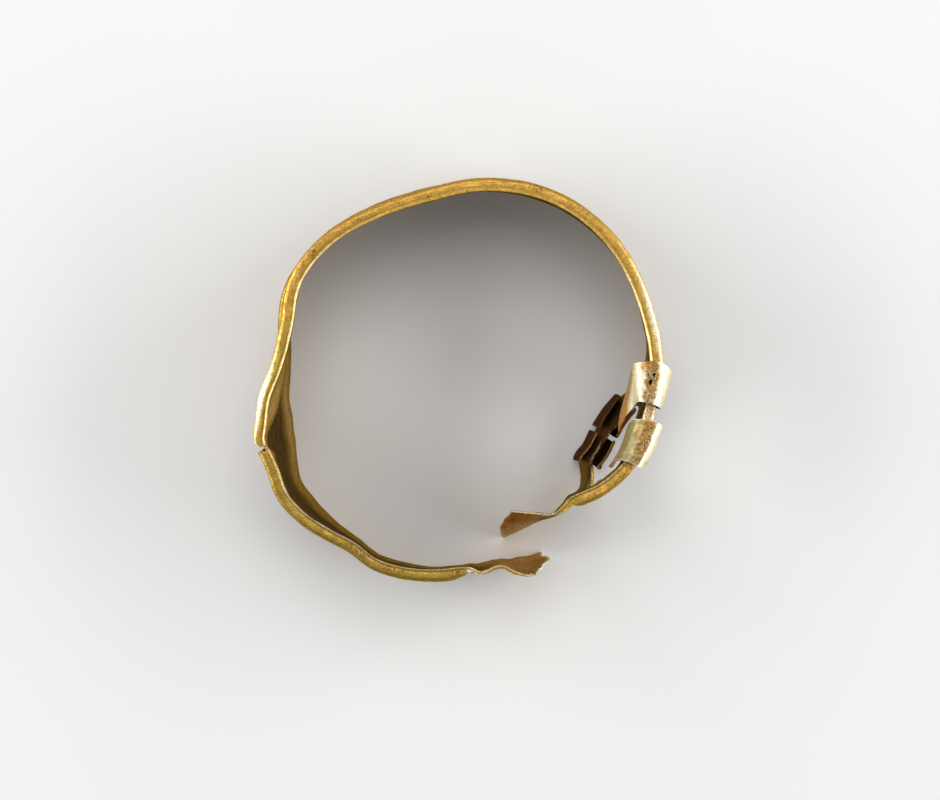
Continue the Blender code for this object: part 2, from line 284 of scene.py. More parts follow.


# aged sheet gold: mottled tarnish, soil in specks and patches, fine lengthwise scratches, worn edges painted
# bright also as highlights; its values also carry painted shade and highlights
def agedGold(name, look):
    material, tree, shader, place = newMaterial(name)
    sheetPlace = addNode(tree, "ShaderNodeUVMap", {}, uv_map="sheet").outputs["UV"]

    broad = noiseOf(tree, place, 170, 4, 0.6)
    mottle = noiseOf(tree, place, 900, 5, 0.65, 0.4)
    grain = noiseOf(tree, place, 3600, 4, 0.65)
    streaks = noiseOf(tree, sheetPlace, 1.0, 4, 0.6, 0.2)
    stripes = noiseOf(tree, sheetPlace, 0.24, 3, 0.5, 0.3)
    blush = noiseOf(tree, place, 420, 3, 0.6)
    flecks = noiseOf(tree, place, 2700, 4, 0.65)
    hollows = noiseOf(tree, place, 1700, 5, 0.72)
    specks = noiseOf(tree, place, 1500, 2, 0.5)

    # tarnish here also carries painted shade
    tarnishAndShade = between(tree, broad, look["tarnishFrom"], look["tarnishFrom"] + 0.24)
    tarnishAndShade = larger(tree, tarnishAndShade, brokenUp(tree, "tarnishAndShade", mottle, 0.25, 0.55, 0.6, 1.0))
    # grime here also carries painted shade: deep in the wall, under the sleeves and on the back of each sheet
    grimeAndShade = brokenUp(tree, "grimeAndShade", stripes, 0.36, 0.64, 0.86, 1.0)
    grimeAndShade = larger(tree, grimeAndShade, attributeOf(tree, "backShade"))
    colour = look["warm"]
    for share, over in (        # one over the other
        (tarnishAndShade, "tarnishAndShade"),
        (between(tree, mottle, 0.42, 0.66, 0, look["mottle"]), "dark"),
        (between(tree, grain, 0.50, 0.60, 0, look["pits"]), "dark"),
        (between(tree, streaks, 0.52, 0.74, 0, 0.15), "bright"),
        (between(tree, blush, 0.56, 0.72, 0, look["blush"]), "blushColour"),
        # the clean and wear values also carry painted light, and the edges are painted bright as highlights
        # and wear
        (brokenUp(tree, "cleanAndLit", grain, 0.45, 0.66, 1.0, 0.4), "warm"),
        (brokenUp(tree, "wearAndHighlight", grain, 0.42, 0.66, 1.0, 0.35), "bright"),
        (attributeOf(tree, "edge"), "bright"),
        (brokenUp(tree, "stainAndShade", mottle, 0.30, 0.55, 0.45, 1.0), "stainAndShade"),
        (times(tree, grimeAndShade, 0.96), "grimeAndShade"),
    ):
        colour = blendColours(tree, share, colour, look[over])

    # soil here also carries painted shade along the sleeves' seam valleys
    soilAndShade = brokenUp(tree, "soilAndShade", flecks, 0.48, 0.54)
    soilAndShade = larger(tree, soilAndShade, brokenUp(tree, "pitted", hollows, 0.50, 0.55))
    soilAndShade = larger(tree, soilAndShade, between(tree, specks, look["speckFrom"], look["speckFrom"] + 0.05))
    soilAndShadeColour = blendColours(tree, grain, look["soilAndShade"], look["soilAndShadeDark"])
    tree.links.new(blendColours(tree, soilAndShade, colour, soilAndShadeColour), shader.inputs["Base Color"])

    # grime, painted shade and pits make the gold duller
    filthAndShade = times(tree, larger(tree, grimeAndShade, attributeOf(tree, "pitted")), 0.4)
    dull = larger(tree, soilAndShade, filthAndShade)
    tree.links.new(between(tree, dull, 0.0, 1.0, 1.0, 0.25), shader.inputs["Metallic"])
    shader.inputs["Specular IOR Level"].default_value = 0.2
    shader.inputs["Specular Tint"].default_value = (*look["edgeTint"], 1)
    roughness = between(tree, mottle, 0.30, 0.70, look["roughness"] - 0.07, look["roughness"] + 0.12)
    roughness = combine(tree, "ADD", roughness, times(tree, dull, 0.35))
    tree.links.new(roughness, shader.inputs["Roughness"])

    normal = bump(tree, mottle, look["relief"], 0.00012)
    normal = bump(tree, streaks, look["scratches"], 0.00008, normal)
    normal = bump(tree, grain, look["grain"], 0.00004, normal)
    tree.links.new(normal, shader.inputs["Normal"])
    return material


# a UV map for lengthwise scratches, slow along the sheet and fast across it; returns each vertex's place
def mapSheet(mesh, grid, alongMm, acrossMm, periods):
    layer = mesh.loops.layers.uv["sheet"]
    place = {
        vert: (alongMm[i], acrossMm[j])
        for i, column in enumerate(grid) for j, vert in enumerate(column) if vert.is_valid
    }
    for face in mesh.faces:
        for loop in face.loops:
            loop[layer].uv = tuple(value / period for value, period in zip(place[loop.vert], periods))
    return place


def runningMm(sideways, upwards):        # how far along a section its points lie, by the steps between them
    return np.concatenate([[0], np.cumsum(np.hypot(sideways, upwards))]) * 1000


band = {
    "sheet": 0.0003,
    "rimWidth": 0.0022, "rimHeight": 0.0014, "slit": 0.00025,
    "beadTurn": (188, 430), "beadSquareness": 0.75,        # degrees round the hollow bead; 1 would be round
    "lipRadius": 0.00015,
    "fluteDepth": 0.0007, "fluteFullness": 0.8,
    "fluteShare": [(-68, 0.45), (-55, 0.5), (-38, 1.0), (270, 1.0), (292, 0.8)],
    "topTurnSteps": 18, "bottomTurnSteps": 9, "wallRows": 31,
    "topStops": [        # rows of the rim's face, in millimetres outside the lip
        1.62, 1.46, 1.28, 1.10, 0.96, 0.84, 0.75, 0.67, 0.60, 0.53, 0.46, 0.39, 0.32, 0.26, 0.20,
    ],
    "bottomStops": [1.55, 1.25, 0.95, 0.72, 0.60, 0.50, 0.40, 0.28],
    # angles of the columns: each stop, and how many columns lead up to it
    "columnStops": [(-67.5, 0), (-42.0, 62), (196.0, 290), (201.5, 28), (270.0, 84), (290.0, 52)],
    "rightEnd": -67.5, "leftEnd": 290.0,
    "topRim": (-50.0, 274.5), "bottomRim": (-40.0, 273.0),
    "lastColumn": 0.3,        # the column that closes the top rim lies within this of its left end
    "flange": [        # angle, how much of the top rim's face is left beyond its ends
        (-68, 0.00030), (-55, 0.00035), (0, 0.0005), (274, 0.00085), (277.2, 0.00060), (278.4, 0.00050),
        (279.6, 0.00040), (281, 0.00034), (284, 0.00026), (291, 0.00022),
    ],
    "narrowing": [        # angle, how much narrower the top rim is, as a share
        (-68, 0), (-22, 0), (-15, 0), (-10, 0.11), (-7, 0.13), (-3, 0.10), (3, 0), (8, 0), (20, 0),
        (150, 0), (190, 0.03), (215, 0.06), (240, 0.10), (262, 0.05), (292, 0),
    ],
    "lipShowing": [        # angle, how clearly the raised lip stands out
        (-68, 0.2), (-40, 0.35), (0, 0.8), (22, 0.9), (40, 0.3), (60, 0.0), (115, 0.1), (130, 0.5),
        (145, 1.0), (200, 1.3), (235, 1.0), (252, 0.5), (275, 0.2), (292, 0.2),
    ],
    "lip": (0.00009, 0.00018, 0.00013), "groove": (0.00010, 0.00056, 0.00020),        # size, place, spread
    "crown": (0.00003, 0.0008, 0.0014),        # size, start, width
    "tilt": (0.42, 184, 17, 0.0006),        # of the face beside the dent: slope, angle, spread, start
    "ridge": (0.0007, 191, 8, 0.05),        # along the light zone: size, angle, spread, spread down
    "folds": [(0.38, 0.10, 0.00022), (0.74, 0.09, -0.0005)],        # by the right and left torn ends: share
    "foldFade": (0.1, 0.5),        # down the wall, spread, size
    "scratchPeriods": (5.0, 0.35),        # along and across, in millimetres
}

# the torn lines: how far the columns are pulled along the hoop, in degrees
tears = {
    "rightFrom": -52,        # the angle where the right torn end begins
    "right": [(0, 0.0), (0.25, -3.8), (0.55, -6.4), (0.85, -7.1), (1, -6.6)],        # by share of the wall
    "left": [(0, 0.0), (0.2, 2.0), (0.4, 3.6), (0.55, 6.5), (0.8, 6.5), (1, 5.5)],
    "rim": [        # by distance outside the lip
        (0.0004, -4.5), (0.00073, -2.8), (0.0011, -0.4), (0.0016, 2.0), (0.0022, 6.5),
    ],
    "rimCalm": -34,        # the angle from which the rim isn't pulled
    "rounding": (6, 0.5, 0.0005, 0.0017),        # of the top rim's left end: over and by how many degrees,
    # from and over what distance outside the lip
    "pinch": (6.5, 1.3, 0.75, 2.5),        # it is pressed narrower: degrees, power, amount, degrees beyond
    "lowPinch": (9, 1.5, 0.55),        # and so is the bottom rim's
}

# the lost patch of wall behind the sleeves, with the waves of its edge: count, size, phase
loss = {
    "angle": -24.5, "length": 0.0165, "height": 0.0160,
    "waves": [(3, 0.07, 1), (7, 0.04, 0), (17, 0.025, 2), (41, 0.015, 0)],
}

# the crack through the top rim at the left: open at the bead, tight at the lip, a hairline in the wall
crack = {
    "angle": 198.75, "cut": 0.6875, "eased": 3.2,        # degrees
    "middle": [(0, 199.0), (0.0006, 199.15), (0.0011, 199.2), (0.0016, 198.7), (0.0022, 198.3)],
    "half": [(0, 0.12), (0.0006, 0.18), (0.0011, 0.30), (0.0016, 0.80), (0.0022, 1.20)],
    "depth": 0.0048, "healing": 0.003,        # how far it runs down the wall, and closes below that
    "hollow": (199.95, 0.00085, 0.36, 0.00030),        # face broken away: angle, metres out, half sizes
    "curl": (202.2, 1.3, 0.0016, 0.0009, 0.0006),        # angle, spread, depth, spread, size
}


# half of the section across the sheet, from the rolled rim's free edge to the wall, as pairs of
# distance outside the lip and distance from the rim's face
def rimProfile(turnSteps, faceStops):
    left = band["sheet"] + band["slit"]
    reach = (band["rimWidth"] - left) / 2
    drop = band["rimHeight"] / 2
    turns = np.radians(np.linspace(*band["beadTurn"], turnSteps))
    square = band["beadSquareness"]
    across, under = (np.sign(s) * np.abs(s) ** square for s in (np.cos(turns), np.sin(turns)))
    profile = [(left + reach * (1 + a), drop * (1 - u)) for a, u in zip(across, under)]
    profile += [(stop / 1000, 0.0) for stop in faceStops]
    radius = band["lipRadius"]
    for turn in np.radians([0, 30, 60, 90]):
        profile.append((radius * (1 - np.sin(turn)), radius * (1 - np.cos(turn))))
    profile += [(0.0, 1.8 * radius), (0.0, 1.3 * band["sheet"])]
    return profile


# the whole section in rows: outward and height, with marks for the two rims
def bandSection():
    top = rimProfile(band["topTurnSteps"], band["topStops"])
    bottom = rimProfile(band["bottomTurnSteps"], band["bottomStops"])
    edge = top[-1][1]
    heights = np.linspace(bandWidth - edge, edge, band["wallRows"] + 1)[1:-1]
    bottom = bottom[::-1]
    rows = np.arange(len(top) + len(heights) + len(bottom))
    lipRows = 5        # the last rows of each half turn down from the face
    height = np.concatenate([[bandWidth - d for o, d in top], heights, [d for o, d in bottom]])
    return SimpleNamespace(
        outward=np.concatenate([[o for o, d in top], 0 * heights, [o for o, d in bottom]]),
        height=height,
        down=1 - height / bandWidth,
        isTop=rows < len(top) - lipRows,
        isBottom=rows > rows[-1] - len(bottom) + lipRows,
        isBead=rows < band["topTurnSteps"],
        isWall=(rows >= len(top)) & (rows < len(top) + len(heights)),
    )


def bandAngles():
    angles = [band["columnStops"][0][0]]
    for stop, count in band["columnStops"][1:]:
        angles.extend(np.linspace(angles[-1], stop, count + 1)[1:])
    return np.array(angles)


def jagged(values, seed):        # a torn line: noise between about -1 and 1
    values = np.asarray(values, float)
    line = [
        noise.noise(Vector((v, seed, 0))) + 0.6 * noise.noise(Vector((2.7 * v, seed, 5)))
        for v in values.ravel()
    ]
    return np.array(line).reshape(values.shape)


def wavy(turn, waves):        # a ragged outline: about 1 all the way round
    line = 1
    for count, size, phase in waves:
        line = line + size * np.sin(count * turn + phase)
    return line


def edgeOf(cells):        # the grid points on the border of a set of cells
    padded = np.pad(cells, 1)
    corners = [padded[:-1, :-1], padded[1:, :-1], padded[:-1, 1:], padded[1:, 1:]]
    return np.any(corners, axis=0) & ~np.all(corners, axis=0)


def lossRatio(angle, height):        # 1 on the ragged edge of the lost patch
    along = (angle - loss["angle"]) / (degreesFor(loss["length"]) / 2)
    up = (2 * height - bandWidth) / loss["height"]
    return np.hypot(along, up) / wavy(np.arctan2(up, along), loss["waves"])


def outsideOf(angle, ends):        # past either end of a rim
    return (angle < ends[0]) | (angle > ends[1])


# which cells of the grid are gone
def lostCells(angles, section):
    angle = ((angles[:-1] + angles[1:]) / 2)[:, None]
    outward = ((section.outward[:-1] + section.outward[1:]) / 2)[None, :]
    height = ((section.height[:-1] + section.height[1:]) / 2)[None, :]
    onTop = section.isTop[:-1][None, :]
    onBottom = section.isBottom[1:][None, :]
    onBead = section.isBead[:-1][None, :]
    ragged = np.where(angle < 0, 0.45, 0.2) * jagged(angle * 2.3, 41)
    flange = smoothCurve(band["flange"])(angle) * (1 + ragged)
    lost = onTop & ((outward > flange) | onBead) & outsideOf(angle, band["topRim"])
    lost |= onBottom & outsideOf(angle, band["bottomRim"])
    nearTop = onTop | (bandWidth - height < crack["depth"])
    lost |= nearTop & (np.abs(angle - crack["angle"]) < crack["cut"])
    place, out, long, wide = crack["hollow"]
    ratio = np.hypot((angle - place) / long, (outward - out) / wide)
    ratio = ratio + 0.25 * jagged(angle * 5 + outward * 3000, 12)
    lost |= onTop & ~onBead & (ratio < 1)
    patch = (lossRatio(angle, height) < 1) & ~onTop & ~onBottom
    return lost | patch, patch


# the two sides of the crack stand apart, more towards the outer side of the rim
def openCrack(angle, base, section):
    cut, eased, deep = (crack[name] for name in ("cut", "eased", "depth"))
    outward = np.where(section.isTop, section.outward, 0)
    depth = bandWidth - section.height
    down = np.where(section.isTop, 0, depth / deep)
    rough = 0.3 * jagged(outward * 1500 + depth * 700, 3)
    half = smoothCurve(crack["half"])(outward) * (1 + rough) * np.clip(1 - down, 0.1, 1)
    middle = smoothCurve(crack["middle"])(outward) + 0.18 * jagged(outward * 1300 + depth * 600, 9)
    shut = fade(depth, deep, deep + crack["healing"])
    half = (half + (cut - half) * shut)[None, :]
    aside = ((middle - crack["angle"]) * (1 - shut))[None, :]
    offset = base - crack["angle"]
    size = np.abs(offset)
    outer = half + (size - cut) * (eased - half) / (eased - cut)
    near = np.where(size <= cut, size * half / cut, outer)
    moved = np.sign(offset) * near + aside * np.clip(1 - size / eased, 0, 1)
    return np.where(size < eased, angle + moved - offset, angle)


# the angle of every grid point, with the columns pulled along the hoop to the torn lines
def tornAngles(base, section):
    outward, height, down, isTop = section.outward, section.height, section.down, section.isTop
    rimStart, rimEnd = band["topRim"]
    pulls, calm = tears["rim"], tears["rimCalm"]
    apart = np.arange(len(down)) * 0.3        # so that the rows of the bead differ
    rimPull = smoothCurve(pulls)(np.clip(outward, pulls[0][0], pulls[-1][0]))
    rimPull = rimPull + 0.5 * jagged(outward * 3000 + apart, 2)
    rimPull = np.where(isTop, rimPull, pulls[0][1])
    before = np.clip((base - band["rightEnd"]) / (rimStart - band["rightEnd"]), 0, 1)
    after = np.clip((calm - base) / (calm - rimStart), 0, 1)
    angle = base + rimPull * np.minimum(before, after)
    rimJag = np.where(isTop, 0.3 * jagged(outward * 2500, 21), 0)
    angle = angle + rimJag * hump(base, rimEnd, 1.5)
    long, turned, start, over = tears["rounding"]
    near = isTop * fade(base, rimEnd - long, rimEnd) * (base < rimEnd + band["lastColumn"])
    angle = angle - turned * near * np.clip((outward - start) / over, 0, 1) ** 2
    right, left = tornShares(base)
    rightPull = smoothCurve(tears["right"])(down) + 0.3 * jagged(height * 1900, 14)
    ripple = 0.3 * np.sin(29 * down) * np.sin(11 * down + 1) + 0.75 * jagged(height * 1000, 33)
    leftPull = smoothCurve(tears["left"])(down) + ripple * fade(down, 0.0, 0.15)
    angle = angle + right ** 2 * rightPull
    angle = angle + left ** 2 * leftPull
    return openCrack(angle, base, section)


# how near each point is to the two torn ends: 0 where the rims end, 1 at the very end
def tornShares(base):
    rightFrom, leftFrom = tears["rightFrom"], band["topRim"][1]
    right = np.clip((rightFrom - base) / (rightFrom - band["rightEnd"]), 0, 1)
    left = np.clip((base - leftFrom) / (band["leftEnd"] - leftFrom), 0, 1)
    return right, left


# the top rim's face: a raised lip along its inner edge, a groove beside it, a slightly crowned bead
def faceRelief(base, across, section):
    showing = smoothCurve(band["lipShowing"])(base)
    size, middle, spread = band["lip"]
    lip = size * showing * hump(across, middle, spread)
    size, middle, spread = band["groove"]
    groove = size * (0.35 + 0.75 * showing) * hump(across, middle, spread) * (across > 0.0003)
    size, start, width = band["crown"]
    crown = size * np.clip(np.sin(np.pi * (across - start) / width), 0, 1)
    onFace = section.isTop & ~section.isBead
    return onFace * (lip - groove + crown), onFace * showing


# how worn and dirty the band is, and where light and shade are painted on it. A spot is strength, middle,
# spread
aging = {
    "soilSpots": [        # angle, distance outside the lip, spread in degrees, spread across, strength
        (66.8, 0.0015, 1.6, 0.0006, 1.0), (98.7, 0.0010, 1.3, 0.0004, 1.0), (139, 0.0014, 3.0, 0.0005, 0.9),
        (175.7, 0.0012, 0.7, 0.0003, 1.0), (207.0, 0.0013, 6.0, 0.0009, 0.45),
        (211.7, 0.0013, 0.5, 0.0003, 1.0), (215.5, 0.0011, 0.4, 0.0002, 1.0),
        (240.0, 0.0010, 4.5, 0.0007, 1.0), (250.4, 0.0009, 4.0, 0.0006, 1.0),
        (270.0, 0.0011, 2.8, 0.0008, 1.0), (-7.5, 0.0010, 5.0, 0.0008, 0.6),
        (-48.5, 0.0008, 3.0, 0.0006, 0.4),
    ],
    # the wall's tarnish and grime deepen down the wall, with painted shade
    "wallTarnishAndShade": [(0, 0.1), (0.12, 0.35), (0.3, 0.75), (0.6, 1.0), (0.8, 1.0), (0.93, 0.55), (1, 0.5)],
    "wallShadeAndGrime": [
        (0, 0.6), (0.15, 0.85), (0.4, 0.97), (0.6, 1.0), (0.80, 1.0), (0.86, 0.55), (0.93, 0.1), (1, 0.2),
    ],
    "lightFrom": [(-68, 0), (150, 0.0), (170, 0.32), (183, 0.26), (188, 0.05), (192, 0), (292, 0)],
    "lightTo": [        # the wall's painted lit zone beside the dent, by angle
        (-68, 0.3), (150, 0.3), (170, 0.55), (183, 0.50), (186, 0.46), (189.5, 0.41), (193, 0.33),
        (196, 0.25), (198.5, 0.21), (206, 0.18), (220, 0.14), (292, 0.3),
    ],
    "round": {        # spots in degrees round the hoop
        "lossSoil": (0.8, -24, 17), "lossGrime": (0.95, -17, 20), "lossCrumple": (0.5, -24, 20),
        "endSoil": (0.5, 283, 9), "rimEnd": (1.0, band["topRim"][1] - 0.4, 1.4),
        "crackStain": (0.8, crack["angle"] + 0.6, 1.1), "crackGrime": (0.5, crack["angle"], 0.7),
        "crackCrumple": (0.9, crack["angle"], 7), "dirtyGroove": (0.7, 193, 6.5),
        # the lit zone's painted highlight and brightening, and a painted dark line at its end
        "lightWear": (0.15, 190, 22), "lightClean": (0.55, 190, 25), "lightLine": (0.95, 192, 7),
        # the dent and right spots paint highlights on the outer half of the rim's face
        "dentPolish": (0.95, 186, 12), "dentDeeper": (1.0, 186, 9), "dentTarnish": (0.75, 182, 24),
        "rightPolish": (0.85, 17, 13), "rightDeeper": (1.0, 17, 16), "backClean": (0.45, 85, 45),
        "strip": (1.0, -10, 4), "stripBare": (0.9, -10, 5),        # the rim between the two sleeves
        # the upper and lower spots mark the rim under the two sleeves, darkened there as painted shade
        "underUpper": (1.0, -1, 4.5), "underLower": (1.0, -18.8, 5.0), "byStripe": (1.0, 190, 25),
    },
    "across": {        # spots in metres outside the lip
        "lip": (1.0, 0.00017, 0.00012),
        "groove": (1.0, 0.00060, 0.00017), "grooveDirt": (1.0, 0.00060, 0.00013),
    },
    "down": {        # spots as shares down the wall
        # the far stripe is a lighter band near the bottom rim, painted light
        "soilBelt": (0.55, 0.68, 0.2), "farStripe": (1.0, 0.93, 0.05), "endStain": (0.3, 0.75, 0.2),
    },
}


def most(first, *others):        # the largest of several shares at each point
    for other in others:
        first = np.maximum(first, other)
    return first


# what the band's age goes by at every grid point: its spots, torn ends, painted lit zone and the painted
# highlight on its face
def agingPlaces(base, across, section, showing):
    at = SimpleNamespace(base=base, across=across, showing=showing, down=section.down + 0 * base)
    at.isTop, at.isWall = section.isTop, section.isWall
    for values, spots in ((base, aging["round"]), (across, aging["across"]), (at.down, aging["down"])):
        for name, (strength, middle, spread) in spots.items():
            setattr(at, name, strength * hump(values, middle, spread))
    at.right, at.left = tornShares(base)
    at.rightTorn, at.leftTorn = fade(at.right, 0.1, 0.6), fade(at.left, 0.1, 0.7)
    at.torn = fade(np.maximum(at.right, at.left), -0.1, 0.7)
    low, at.lightEnd = (smoothCurve(aging[name])(base) for name in ("lightFrom", "lightTo"))
    at.light = fade(at.down, low - 0.10, low + 0.04)
    at.light = at.light * (1 - fade(at.down, at.lightEnd - 0.04, at.lightEnd + 0.08))
    at.stripe = at.farStripe * at.byStripe
    start = 0.0015 - 0.0006 * np.maximum(at.dentDeeper, at.rightDeeper)        # the face's outer half, where a highlight is painted
    at.polished = fade(across + 0.0002 * jagged(base * 0.9, 8), start, start + 0.0005)
    rightEdge = 1 - fade(base, band["rightEnd"] + 0.2, band["rightEnd"] + 0.9)
    leftEdge = fade(base, band["leftEnd"] - 0.7, band["leftEnd"] - 0.15)
    at.tornEdge = at.isWall * np.maximum(rightEdge, leftEdge)
    return at


def bandSoil(at):
    onTop = np.zeros_like(at.across)
    for angle, out, spread, wide, strength in aging["soilSpots"]:
        onTop = np.maximum(onTop, strength * hump(at.base, angle, spread) * hump(at.across, out, wide))
    return np.where(at.isTop, onTop, most(at.lossSoil, at.endSoil, at.soilBelt)) * (1 - at.tornEdge)


def bandTarnishAndShade(at):
    noLip = (1 - fade(at.across, 0.0004, 0.0013)) * np.clip(1 - 1.4 * at.showing, 0, 1)
    pastCrack = 0.65 * fade(at.base, 199, 204) + 0.1        # painted shade: darker from the crack on
    onTop = most(at.groove * np.clip(0.3 + at.showing, 0, 1), 0.8 * noLip, pastCrack) * (1 - at.stripBare)
    onTop = np.maximum(onTop, at.dentTarnish * (1 - at.polished))
    # the wall's tarnish deepens downwards, partly as painted shade, and thins in the painted lit zone
    onWall = smoothCurve(aging["wallTarnishAndShade"])(at.down) * (1 - 0.6 * at.light) * (1 - 0.8 * at.torn)
    return np.where(at.isTop, onTop, onWall)


def bandWearAndHighlight(at):
    # a painted highlight on the face's outer half, at the dent and on the right
    polished = at.polished * (at.dentPolish + at.rightPolish)
    beyond = 0.6 * outsideOf(at.base, band["topRim"])        # what is left of the face past the rim's ends, painted bright as a highlight
    # painted highlights on the lip's crest and the rim's end cap, and wear on the strip between the sleeves
    onTop = most(at.lip * np.clip(at.showing, 0, 1), polished, at.strip, at.rimEnd, beyond)
    right = at.rightTorn * (0.05 + 0.60 * fade(at.down, 0.3, 0.8))
    # on the wall: the lit zone and the far stripe painted bright, and wear on the torn ends
    onWall = most(at.light * at.lightWear, 0.2 * at.stripe, right, 0.22 * at.leftTorn, at.tornEdge)
    return np.maximum(at.isTop * onTop, at.isWall * onWall)


def bandStain(at):
    stainAndShade = 0.30 * at.rightTorn * (1 - fade(at.down, 0.2, 0.7))
    stainAndShade = np.where(at.isTop, 0.4 * at.strip, stainAndShade)
    return most(stainAndShade, at.leftTorn * at.endStain, at.crackStain * (at.down < 0.15)) * (1 - at.tornEdge)


def bandGrimeAndShade(at):
    # the wall gets darker downwards as grime with painted shade, lighter in the painted lit zone, and darker
    # round the lost patch
    onWall = smoothCurve(aging["wallShadeAndGrime"])(at.down) * (1 - 0.9 * at.light)
    line = at.lightLine * hump(at.down, at.lightEnd + 0.015, 0.02)        # painted shade: a dark line along the lit zone's end
    onWall = np.maximum(np.maximum(onWall, line) * (1 - at.torn), at.lossGrime)
    # painted shade on the rim under the two sleeves
    underSleeveShade = np.maximum(at.underUpper, at.underLower) > 0.25
    onTop = most(at.crackGrime, at.grooveDirt * at.dirtyGroove, 0.95 * underSleeveShade)
    return np.where(at.isTop, onTop, onWall)


# the values that the band's material, thickness and dents go by, most of them between 0 and 1
def bandAge(base, across, section, showing):
    at = agingPlaces(base, across, section, showing)
    cleanAndLit = 0.85 * fade(at.right + at.left, 0.05, 0.45)
    # the painted lit zone and the far stripe are made cleaner, and so lighter, as painted light
    cleanAndLit = most(cleanAndLit, at.light * at.lightClean, 0.4 * at.stripe)
    crumple = 0.9 * fade(at.right, 0.1, 0.9) + 1.5 * fade(at.left, 0.1, 0.9)
    crumple = crumple + at.crackCrumple * np.clip(1 - 2 * at.down, 0, 1) + at.lossCrumple
    thin = np.where(at.isTop & (across < 0.0009), 0.5, 0.1)
    intact = 1 - fade(np.maximum(at.right, at.left), -0.1, 0.25)
    return {
        "soilAndShade": bandSoil(at), "tarnishAndShade": bandTarnishAndShade(at), "wearAndHighlight": bandWearAndHighlight(at), "stainAndShade": bandStain(at),
        "crumple": crumple, "thin": np.maximum(thin, 0.45 * (at.right + at.left > 0.8)),
        "wall": at.isWall + 0 * base, "cleanAndLit": np.where(at.isTop, at.backClean, at.isWall * cleanAndLit),
        "grimeAndShade": bandGrimeAndShade(at), "pitted": 0.35 * at.isTop * at.strip,
        "backShade": 0.9 * at.isTop + 0.5 * at.isWall * intact,
    }


# the wall bows in and out: flutes, a ridge along the light zone, the crack's curl, the torn ends' folds
def bowWall(across, base, up, section):
    down, isWall = section.down, section.isWall
    flute = band["fluteDepth"] * np.abs(np.sin(2 * np.pi * down)) ** band["fluteFullness"] * isWall
    across = across + flute * smoothCurve(band["fluteShare"])(base)
    size, middle, spread, wide = band["ridge"]
    ridge = size * (hump(down, smoothCurve(aging["lightTo"])(base), wide) * hump(base, middle, spread))
    angle, long, depth, wide, size = crack["curl"]
    curl = size * (hump(base, angle, long) * hump(bandWidth - up, depth, wide))
    fold = 0
    for share, (middle, spread, size) in zip(tornShares(base), band["folds"]):
        fold = fold + size * hump(down, middle, spread) * fade(share, *band["foldFade"])
    return across + isWall * (fold - ridge - curl)


# both rims are narrower towards their broken ends
def narrowRims(across, base, section):
    across = across * (1 - smoothCurve(band["narrowing"])(base) * section.isTop)
    (long, power, amount, past), rimEnd = tears["pinch"], band["topRim"][1]
    near = np.clip((base - rimEnd + long) / long, 0, 1) ** power
    near = near * (1 - fade(base, rimEnd + band["lastColumn"], rimEnd + past))
    beyond = np.clip(across - band["slit"] - band["sheet"], 0, None)
    across = across - amount * near * section.isTop * beyond
    (long, power, amount), rimEnd = tears["lowPinch"], band["bottomRim"][1]
    near = fade(base, rimEnd - long, rimEnd) ** power
    return across * (1 - amount * section.isBottom * near)


def makeBand(material):
    section = bandSection()
    angles = bandAngles()
    columns, rows = len(angles) - 1, len(section.outward) - 1
    base = np.repeat(angles[:, None], rows + 1, axis=1)
    across = np.repeat(section.outward[None, :], columns + 1, axis=0)
    up = np.repeat(section.height[None, :], columns + 1, axis=0)

    lost, patch = lostCells(angles, section)
    angle = tornAngles(base, section)
    across = bowWall(across, base, up, section)
    ratio = np.where(edgeOf(patch), lossRatio(angle, up), 1)
    middle = bandWidth / 2
    angle = loss["angle"] + (angle - loss["angle"]) / ratio
    up = middle + (up - middle) / ratio
    relief, showing = faceRelief(base, across, section)
    up += relief
    values = bandAge(base, across, section, showing)
    across = narrowRims(across, base, section)
    slope, place, spread, start = band["tilt"]
    slope = slope * hump(base, place, spread) * section.isTop
    up -= slope * np.clip(across - start, 0, None)

    mesh, grid = flatGrid(columns, rows, values)
    points = placeOnHoop(angle, across, up)
    bendGrid(mesh, grid, points, lost, values)
    alongMm = np.radians(angles) * hoop["wristRadius"] * 1000
    acrossMm = runningMm(np.diff(section.outward), np.diff(section.height))
    place = mapSheet(mesh, grid, alongMm, acrossMm, band["scratchPeriods"])
    mesh.normal_update()
    innerRow = int(np.argmax(section.isWall)) + 8        # a row well down the wall
    face = grid[columns // 2][innerRow].link_faces[0]
    if face.normal.dot(face.calc_center_median()) > 0:        # the wall's normals point at the wrist
        bmesh.ops.reverse_faces(mesh, faces=mesh.faces[:])
    crumple = mesh.verts.layers.float["crumple"]
    wall = mesh.verts.layers.float["wall"]

    def dents(vert):
        p, (along, over) = vert.co, place[vert]
        wrinkle = dent(Vector((along / 7, over / 1.1, 3)), 0.00009, 1)        # long ones, round the hoop
        sheet = dent(p, 0.00012, 240) + dent(p, 0.00004, 700) + wrinkle
        folds = dent(p, 0.00034, 330, (7, 1, 4)) + dent(p, 0.00012, 1100)
        rim = dent(p, 0.00006, 380) + dent(p, 0.000035, 1100)
        return vert[wall] * (sheet + vert[crumple] * folds) + (1 - vert[wall]) * rim

    pushAlongNormals(mesh, dents)
    low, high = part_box("band")
    flat = points.reshape(-1, 3)[:, :2]
    shift = ((low.xy + high.xy) / 2 - Vector(flat.min(0) + flat.max(0)) / 2).to_3d()
    print("the hoop is set", [round(s * 1000, 3) for s in shift], "mm from its own centre")
    bmesh.ops.translate(mesh, verts=mesh.verts[:], vec=shift)
    piece = sheetPiece("bent_band", mesh, band["sheet"], material)
    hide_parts("band")
    return shift


